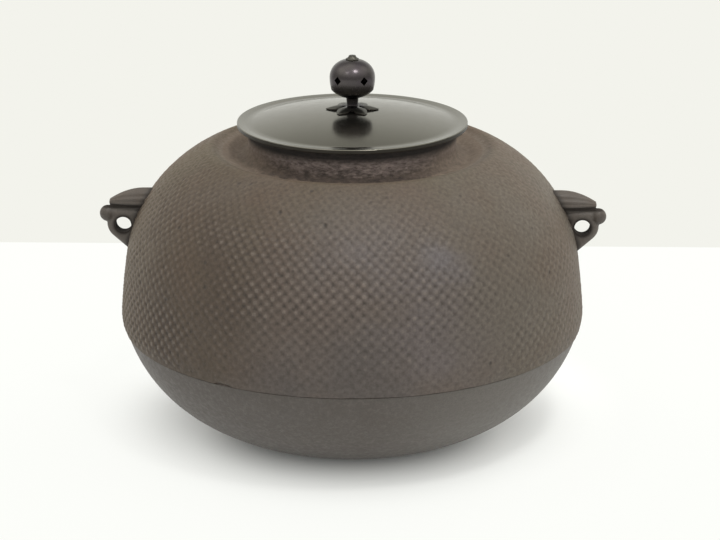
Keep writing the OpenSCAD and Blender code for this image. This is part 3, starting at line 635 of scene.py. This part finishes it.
def addEar(bm, shape):  # a round edge, swept round the eye and stretched to the chin
    half = shape["earThick"] / 2
    bmesh.ops.create_circle(bm, segments=24, radius=half)
    bmesh.ops.translate(bm, vec=(shape["ear"] - half, 0, 0), verts=bm.verts)
    bmesh.ops.spin(bm, geom=bm.verts[:] + bm.edges[:], cent=(0, 0, 0), axis=(0, 1, 0), angle=2 * math.pi, steps=60)
    bmesh.ops.translate(bm, vec=(shape["eye"][0], 0, shape["eye"][1]), verts=bm.verts)
    chin = bmesh.ops.create_uvsphere(bm, u_segments=24, v_segments=16, radius=half)["verts"]
    bmesh.ops.translate(bm, vec=(shape["chin"][0], 0, shape["chin"][1]), verts=chin)
    bmesh.ops.delete(bm, geom=bm.faces[:], context="FACES_ONLY")
    hull = bmesh.ops.convex_hull(bm, input=bm.verts)
    spare = only(hull["geom_interior"] + hull["geom_unused"], bmesh.types.BMVert)
    bmesh.ops.delete(bm, geom=unique(spare), context="VERTS")
    bmesh.ops.delete(bm, geom=[edge for edge in bm.edges if not edge.link_faces], context="EDGES")


def addBrow(bm, shape):  # slice by slice, lower and narrower towards its tip
    ring = bmesh.ops.create_circle(bm, cap_ends=True, segments=40, radius=1)["verts"]
    turnVerts(bm, ring, 90, "Y")
    bmesh.ops.scale(bm, vec=(1, 1, shape["browSag"]), verts=[vert for vert in ring if vert.co.z < 0])
    bmesh.ops.scale(bm, vec=(1, shape["browWide"] / 2, shape["browRise"]), verts=ring)
    bmesh.ops.translate(bm, vec=(shape["rollFrom"], 0, shape["brow"][1]), verts=ring)
    rim = unique(edge for vert in ring for edge in vert.link_edges)
    lastRise, lastAcross = shape["browRise"], shape["rollFrom"]
    for i in range(shape["browSteps"] + 1):
        along = i / shape["browSteps"]
        rise = shape["browEnd"] + (shape["browRise"] - shape["browEnd"]) * (1 - along * along)
        across = shape["brow"][0] + along * (shape["browTip"] - shape["brow"][0])
        grown = bmesh.ops.extrude_edge_only(bm, edges=rim)["geom"]
        ring, rim = only(grown, bmesh.types.BMVert), only(grown, bmesh.types.BMEdge)
        bmesh.ops.translate(bm, vec=(across - lastAcross, 0, 0), verts=ring)
        bmesh.ops.scale(bm, vec=(1, math.sqrt(rise / lastRise), rise / lastRise), verts=ring,
                        space=Matrix.Translation((0, 0, -shape["brow"][1])))
        lastRise, lastAcross = rise, across
    bmesh.ops.contextual_create(bm, geom=rim)


# share of painted shade, full within near of a crease and gone beyond far
def paintedShade(gap, share, near, far):
    return share * (1 - between(gap, near, far))


def castLug(name, node, turn):
    shape = lugShape
    eye, bulb = Vector(shape["eye"]), Vector((shape["bulb"][0], 0, shape["bulb"][1]))
    bm = bmesh.new()
    addEar(bm, shape)
    addBrow(bm, shape)
    addRod(bm, shape["roll"], bulb.z, shape["rollFrom"], bulb.x)
    addRod(bm, shape["web"], shape["webHeight"], shape["rollFrom"], shape["webTip"])
    ball = bmesh.ops.create_uvsphere(bm, u_segments=32, v_segments=20, radius=shape["bulbRadius"])["verts"]
    bmesh.ops.translate(bm, vec=bulb, verts=ball)
    bmesh.ops.recalc_face_normals(bm, faces=bm.faces)
    bm = modified(bm, "REMESH", mode="VOXEL", voxel_size=shape["grain"])
    for i in range(shape["smoothing"]):
        bmesh.ops.smooth_vert(bm, verts=bm.verts, factor=0.5, use_axis_x=True, use_axis_y=True, use_axis_z=True)
    bm.normal_update()
    for vert in bm.verts:  # shallow lengthwise grooves fan out over the brow
        over = vert.co.z - shape["brow"][1]
        fan = math.atan2(over, vert.co.y) * 360 / shape["grooveStep"]
        vert.co -= vert.normal * shape["groove"] * between(over, *shape["grooveFrom"]) * (0.5 - 0.5 * math.cos(fan))
    cutter = bmesh.new()
    drill = bmesh.ops.create_cone(cutter, cap_ends=True, segments=72, radius1=shape["eyeRadius"],
                                  radius2=shape["eyeRadius"], depth=4 * shape["earThick"])["verts"]
    turnVerts(cutter, drill, 90, "X")
    bmesh.ops.translate(cutter, vec=(eye.x, 0, eye.y), verts=drill)
    bm = modified(bm, "BOOLEAN", cutter, operation="DIFFERENCE", solver="EXACT")
    creaseShade = bm.verts.layers.float.new("creaseShade")
    for vert in bm.verts:  # painted shade darkens the creases, the eye, the root and the bulb, and the root hugs the body just under its skin
        centre, reach = bodyShape["shoulderCentre"], bodyShape["shoulderRound"]
        if vert.co.z < bodyShape["flankTop"]:
            centre, reach = bodyShape["flankCentre"], bodyShape["flankRound"]
        ray = Vector((vert.co.xy.length - centre[0], vert.co.z - centre[1]))
        proud = ray.length - reach
        vert[creaseShade] = max(paintedShade(abs(vert.co.z - shape["foldHeight"]), *shape["foldShade"]),
                           paintedShade(abs((vert.co.xz - eye).length - shape["eyeRadius"]), *shape["eyeShade"]),
                           paintedShade(proud, *shape["rootShade"]),
                           paintedShade((vert.co - bulb).length, *shape["bulbShade"]))
        if proud < -shape["rootDepth"]:
            out = vert.co.xy.to_3d().normalized() * ray.x + Vector((0, 0, ray.y))
            vert.co -= out.normalized() * (proud + shape["rootDepth"])
    turnVerts(bm, bm.verts, turn, "Z")
    makePiece(bm, name, "kettle", [lugIron], [node], sharp=50)


castLug("rightLugCast", "right_lug", 0)
castLug("leftLugCast", "left_lug", 180)


# The lid: a shallow dome with a narrow raised rim
lidShape = {
    "under": 167.83, "radius": 60.8, "edge": 170.28, "rimRadius": 54.8, "domeTop": 176.48, "domeRound": 215.03,
    "thickness": 2, "underRadius": 46.8, "columns": 160, "rimSoft": 2.2, "edgeSoft": 0.55,
    "upright": 0.4, "edgeWide": 1,   # the edge with painted shade: how far its faces lean, and mm of its reach
}
shape = lidShape
centre = (0, shape["domeTop"] - shape["domeRound"])
underRound = shape["domeRound"] - shape["thickness"]
rimAngle = math.asin(shape["rimRadius"] / shape["domeRound"])
underAngle = math.asin(shape["underRadius"] / underRound)
bm = bmesh.new()
draw(bm, bm.verts.new((0, 0, shape["domeTop"])),
     (centre, -math.degrees(rimAngle), 18),
     (shape["radius"], shape["edge"]),
     (shape["radius"], shape["under"]),
     (shape["underRadius"], shape["under"]),
     (shape["underRadius"], centre[1] + underRound * math.cos(underAngle)),
     (centre, math.degrees(underAngle), 8))
turnRound(bm, shape["columns"])
for soft, reach in ((shape["rimSoft"], shape["rimRadius"]), (shape["edgeSoft"], shape["radius"])):
    rings = [edge for edge in bm.edges
             if all(abs(vert.co.xy.length - reach) < hair for vert in edge.verts)
             and abs(edge.verts[0].co.z - edge.verts[1].co.z) < hair
             and edge.verts[0].co.z > shape["under"] - hair]
    bmesh.ops.bevel(bm, geom=rings, offset=soft, offset_type="OFFSET", affect="EDGES", segments=6,
                    profile=0.5, material=-1)
for face in bm.faces:
    atEdge = face.calc_center_median().xy.length > shape["radius"] - shape["edgeWide"]
    face.material_index = int(atEdge and abs(face.normal.z) < shape["upright"])
makePiece(bm, "bronzeLid", "lid", [lidBronze, shadedEdgeBronze], ["lid_plate"], sharp=60)


# The knob: a hollow ball on a neck, with five diamonds cut through its wall
knobShape = {
    "foot": 177.98, "footEdge": 0.3, "neck": 3.2, "neckFoot": 2.95, "flare": 0.9, "bore": 1.9,
    "filletCentre": (4.1, 182.11), "filletTurn": -83, "keelCentre": (1.6706, 195.3364), "keelTurn": 37.35,
    "edgeCentre": (10.6254, 187.2734), "edgeTurn": 27,
    "bellyCentre": (-12.75, 193.5368), "bellyTurn": 15, "shoulderCentre": (2.75, 193.5368), "shoulderTurn": 55,
    "topCentre": (1.3734, 191.5708), "topTurn": 28.93, "wall": 1.6, "floor": (3.05, 184.48), "core": 2.6,
    "columns": 96, "diamonds": 5, "diamond": 4.6, "middle": 193.5368, "diamondAt": 87,   # mm, degrees
    "cutLength": 8, "cutPlace": 11,
}
shape = knobShape
footRadius, footTop = shape["neckFoot"] + shape["flare"], shape["foot"] + shape["footEdge"]
bm = bmesh.new()
start = bm.verts.new((shape["bore"], 0, shape["foot"]))
tip = draw(bm, start,
           (footRadius, shape["foot"]),
           (footRadius, footTop),
           ((footRadius, footTop + shape["flare"]), -90, 5),
           (shape["neck"], shape["filletCentre"][1]),
           (shape["filletCentre"], shape["filletTurn"], 5),
           (shape["keelCentre"], shape["keelTurn"], 10),
           (shape["edgeCentre"], shape["edgeTurn"], 4),
           (shape["bellyCentre"], shape["bellyTurn"], 6),
           (shape["shoulderCentre"], shape["shoulderTurn"], 14),
           (shape["topCentre"], shape["topTurn"], 7))
tip = draw(bm, tip,
           (shape["core"], tip.co.z - shape["wall"]),
           (shape["topCentre"], -shape["topTurn"], 4),
           (shape["shoulderCentre"], -shape["shoulderTurn"], 8),
           (shape["bellyCentre"], -shape["bellyTurn"], 3),
           shape["floor"],
           (shape["bore"], shape["floor"][1]))
bm.edges.new((tip, start))
turnRound(bm, shape["columns"])
cutter = bmesh.new()
side = shape["diamond"] / math.sqrt(2)
for i in range(shape["diamonds"]):
    bar = bmesh.ops.create_cube(cutter, size=1)["verts"]
    bmesh.ops.scale(cutter, vec=(shape["cutLength"], side, side), verts=bar)
    turnVerts(cutter, bar, 45, "X")
    bmesh.ops.translate(cutter, vec=(shape["cutPlace"], 0, shape["middle"]), verts=bar)
    turnVerts(cutter, bar, shape["diamondAt"] + 360 / shape["diamonds"] * i, "Z")
bm = modified(bm, "BOOLEAN", cutter, operation="DIFFERENCE", solver="EXACT")
makePiece(bm, "knobShell", "lid", [knobBronze], ["knob_ball"], sharp=32)

# The crown: a small calyx with a notched foot and a dished top
crownShape = {
    "foot": 203.1, "footRadius": 3.5, "height": 2.1, "waist": 2.35, "waistHeight": 0.95, "top": 1.8,
    "plug": 2.5, "plugDepth": 1.4, "lobes": 5, "notch": 0.16, "notchTo": (0.45, 1.0), "columns": 60,
    "footCurve": [(1, 0), (1.0, 0.3), (0.9, 0.52), (0.78, 0.7)],                    # share of the radius, mm up
    "topCurve": [(0.05, 0.35), (0, 0.08), (-0.2, 0), (-0.72, 0.15), (-1.8, 0.4)],   # mm out, mm down
}
shape = crownShape
foot, top = shape["foot"], shape["foot"] + shape["height"]
bm = bmesh.new()
draw(bm, bm.verts.new((0, 0, foot - shape["plugDepth"])),
     (shape["plug"], foot - shape["plugDepth"]),
     (shape["plug"], foot),
     *[(shape["footRadius"] * share, foot + up) for share, up in shape["footCurve"]],
     (shape["waist"], foot + shape["waistHeight"]),
     *[(shape["top"] + out, top - down) for out, down in shape["topCurve"]])
turnRound(bm, shape["columns"])
for vert in bm.verts:  # pinch the foot into lobes
    low = 1 - between(vert.co.z - foot, *shape["notchTo"])
    pinch = max(0, math.cos(shape["lobes"] * math.atan2(vert.co.y, vert.co.x))) ** 3 * shape["notch"] * low
    if vert.co.xy.length > shape["plug"] + hair:
        vert.co.xy *= 1 - pinch
makePiece(bm, "knobCalyx", "lid", [petalBronze], ["knob_crown"], sharp=45)

# The seat: a domed collar with six leaf petals that arch down to the lid
seatShape = {
    "base": 176.53, "collar": 6.4, "collarHeight": 1.4, "bore": 1.9, "columns": 48,
    "collarCurve": [(0, 0), (0, 0.5), (-0.5, 1.0), (-1.6, 1.4)],   # mm out, mm up
    "petals": 6, "root": 3.6, "reach": 14, "halfWidth": 3.9, "ridge": 2.1, "tip": 0.5, "arch": 0.8, "thick": 0.6,
    "rootShare": 0.2, "fullness": 0.75, "archPower": 1.6, "tipArch": 0.15, "lidRound": 215.03,
    "weld": 1e-3, "paintedLitFrom": 0.5,   # mm between points that become one, how far faces must look up to take the painted light
}
shape = seatShape
base = shape["base"]
bm = bmesh.new()
start = bm.verts.new((shape["bore"], 0, base))
tip = draw(bm, start,
           *[(shape["collar"] + out, base + up) for out, up in shape["collarCurve"]],
           (shape["bore"], base + shape["collarHeight"]))
bm.edges.new((tip, start))
turnRound(bm, shape["columns"])
for i in range(shape["petals"]):
    leaf = bmesh.ops.create_grid(bm, x_segments=16, y_segments=10, size=0.5)["verts"]
    for vert in leaf:
        along, aside = vert.co.x + 0.5, vert.co.y * 2
        bulge = math.pi * (shape["rootShare"] + (1 - shape["rootShare"]) * along)
        half = shape["halfWidth"] * math.sin(bulge) ** shape["fullness"] if along < 1 else 0
        reach = shape["root"] + along * (shape["reach"] - shape["root"])
        ridge = shape["tip"] + (shape["ridge"] - shape["tip"]) * (1 - along * along)
        arched = min(1, half / shape["halfWidth"] + shape["tipArch"])
        drop = shape["arch"] * abs(aside) ** shape["archPower"] * arched
        vert.co = (reach, aside * half, base + ridge - drop - reach * reach / (2 * shape["lidRound"]))
    leafFaces = unique(face for vert in leaf for face in vert.link_faces)
    bmesh.ops.remove_doubles(bm, verts=leaf, dist=shape["weld"])
    leafFaces = [face for face in leafFaces if face.is_valid]
    bmesh.ops.recalc_face_normals(bm, faces=leafFaces)
    if sum(face.normal.z for face in leafFaces) < 0:
        bmesh.ops.reverse_faces(bm, faces=leafFaces)
    before = set(bm.verts)
    bmesh.ops.solidify(bm, geom=leafFaces, thickness=shape["thick"])
    petal = [vert for face in leafFaces if face.is_valid for vert in face.verts]
    petal += [vert for vert in bm.verts if vert not in before]
    turnVerts(bm, unique(petal), 360 / shape["petals"] * i, "Z")
bm.normal_update()
for face in bm.faces:  # the petals' upper sides take the paler bronze as painted light, their edges and undersides keep the dark bronze as painted shade
    onPetal = face.calc_center_median().xy.length > shape["collar"]
    face.material_index = int(onPetal and face.normal.z > shape["paintedLitFrom"])
makePiece(bm, "petalSeat", "lid", [knobBronze, petalBronze], ["knob_seat"], sharp=50)


# The studio: pale floor, soft boxes, and a camera at the photograph's angle
studio = {
    "floor": "#f4f5f1", "floorSeen": "#fbfcf8", "backdrop": "#f3f3ec", "floorBack": 0.3265, "floorReach": 3.0,
    "shadowMiddle": (0, 0.03, 0), "clear": {1: 0.072, 2: 0.157, 4: 0.93},   # m, how far out white light is painted over the floor's real shadow
    "lens": 119.75, "sensor": 36, "place": (0.0346, -1.2249, 0.4824), "tilt": 72.13, "turn": 1.43,
    # the far ceiling mirrors dimmer than the wall, the near one brighter
    "worldLight": 0.47, "brightSide": (0.58, -0.66, 0.48), "farCeiling": {1: 0.45, 2: 0.8, 3: 1.0, 4: 0.57},
    "nearCeiling": {1: 0.25, 2: 0.7, 3: 0.65, 4: 1.7}, "farSide": {1: 0.2, 2: 0.6},
}
look = studio
floorPaper, tree, shader, place = startMaterial("matPaper")
setSockets(tree, shader, {"Base Color": linear(look["floor"]), "Roughness": 0.9, "Specular IOR Level": 0.1})
distance = addNode(tree, "VectorMath", {0: place, 1: look["shadowMiddle"]}, operation="DISTANCE")
# painted light: for camera and glossy rays, white is painted over the floor, more the further from the kettle, so
# its shadow fades fast
paintedWhite = addNode(tree, "MapRange", {"Value": distance, **look["clear"]}, interpolation_type="SMOOTHSTEP")
ray = addNode(tree, "LightPath", {}).node.outputs
seen = addNode(tree, "Math", {0: ray["Is Camera Ray"], 1: ray["Is Glossy Ray"]}, operation="MAXIMUM")
paintedWhite = addNode(tree, "Math", {0: paintedWhite, 1: seen}, operation="MULTIPLY")
white = addNode(tree, "Emission", {"Color": linear(look["floorSeen"]), "Strength": 1.0})
both = addNode(tree, "MixShader", {0: paintedWhite, 1: shader.outputs["BSDF"], 2: white})
setSockets(tree, tree.nodes["Material Output"], {"Surface": both})
bm = bmesh.new()
bmesh.ops.create_grid(bm, x_segments=1, y_segments=1, size=look["floorReach"])
bmesh.ops.translate(bm, vec=(0, look["floorBack"] - look["floorReach"], 0), verts=bm.verts)
mesh = bpy.data.meshes.new("floor")
bm.to_mesh(mesh)
bm.free()
mesh.materials.append(floorPaper)
floor = bpy.data.objects.new("floor", mesh)
bpy.context.scene.collection.objects.link(floor)

world = bpy.data.worlds.new("studioWorld")
bpy.context.scene.world = world
world.use_nodes = True
tree = world.node_tree
lit = tree.nodes["Background"]
outward = addNode(tree, "TexCoord", {}, "Object")
facing = addNode(tree, "VectorMath", {0: outward, 1: look["brightSide"]}, operation="DOT_PRODUCT")
strength = addNode(tree, "MapRange", {"Value": facing, 1: -1.0, 2: 1.0, 4: 2 * look["worldLight"]})
setSockets(tree, lit, {"Color": linear("#ffffff"), "Strength": strength})
axes = addNode(tree, "SeparateXYZ", {0: outward}).node.outputs
ceiling = addNode(tree, "MapRange", {"Value": axes["Z"], **look["farCeiling"]})
near = addNode(tree, "MapRange", {"Value": axes["Z"], **look["nearCeiling"]})
ceiling = addNode(tree, "MapRange", {"Value": axes["Y"], **look["farSide"], 3: near, 4: ceiling})
backdrop = addNode(tree, "Background", {"Color": linear(look["backdrop"]), "Strength": ceiling})
ray = addNode(tree, "LightPath", {}).node.outputs
seen = addNode(tree, "Math", {0: ray["Is Camera Ray"], 1: ray["Is Glossy Ray"]}, operation="MAXIMUM")
seen = addNode(tree, "Math", {0: seen, 1: ray["Is Transmission Ray"]}, operation="MAXIMUM")
both = addNode(tree, "MixShader", {0: seen, 1: lit.outputs["Background"], 2: backdrop})
setSockets(tree, tree.nodes["World Output"], {"Surface": both})

lamps = {
    "overhead": {"place": (0.1, 0.0, 1.7), "aim": (0, 0, 0.05), "size": 1.6, "power": 11, "mirrored": False},
    "keyRight": {"place": (0.4, -0.8, 1.6), "aim": (0, 0, 0.1), "size": 0.27, "power": 7, "mirrored": True},
    "keyLeft": {"place": (-0.6, -0.95, 1.4), "aim": (0, 0, 0.1), "size": 0.35, "power": 1.0, "mirrored": True},
    "sideRight": {"place": (1.1, 1.0, 0.5), "aim": (0, 0, 0.08), "size": 1.2, "power": 18, "mirrored": False},
    "sideLeft": {"place": (-1.1, 1.0, 0.5), "aim": (0, 0, 0.08), "size": 1.2, "power": 18, "mirrored": False},
}
for name, lamp in lamps.items():
    light = bpy.data.lights.new(name, "AREA")
    light.shape = "DISK"
    light.size = lamp["size"]
    light.energy = lamp["power"]
    holder = bpy.data.objects.new(name, light)
    holder.location = lamp["place"]
    holder.rotation_euler = (Vector(lamp["aim"]) - Vector(lamp["place"])).to_track_quat("-Z", "Y").to_euler()
    holder.visible_glossy = lamp["mirrored"]
    bpy.context.scene.collection.objects.link(holder)

lensData = bpy.data.cameras.new("camera")
lensData.lens = look["lens"]
lensData.sensor_width = look["sensor"]
camera = bpy.data.objects.new("camera", lensData)
camera.location = look["place"]
camera.rotation_euler = (math.radians(look["tilt"]), 0, math.radians(look["turn"]))
bpy.context.scene.collection.objects.link(camera)
bpy.context.scene.camera = camera
bpy.context.scene.view_settings.view_transform = "Standard"
print("studio set")
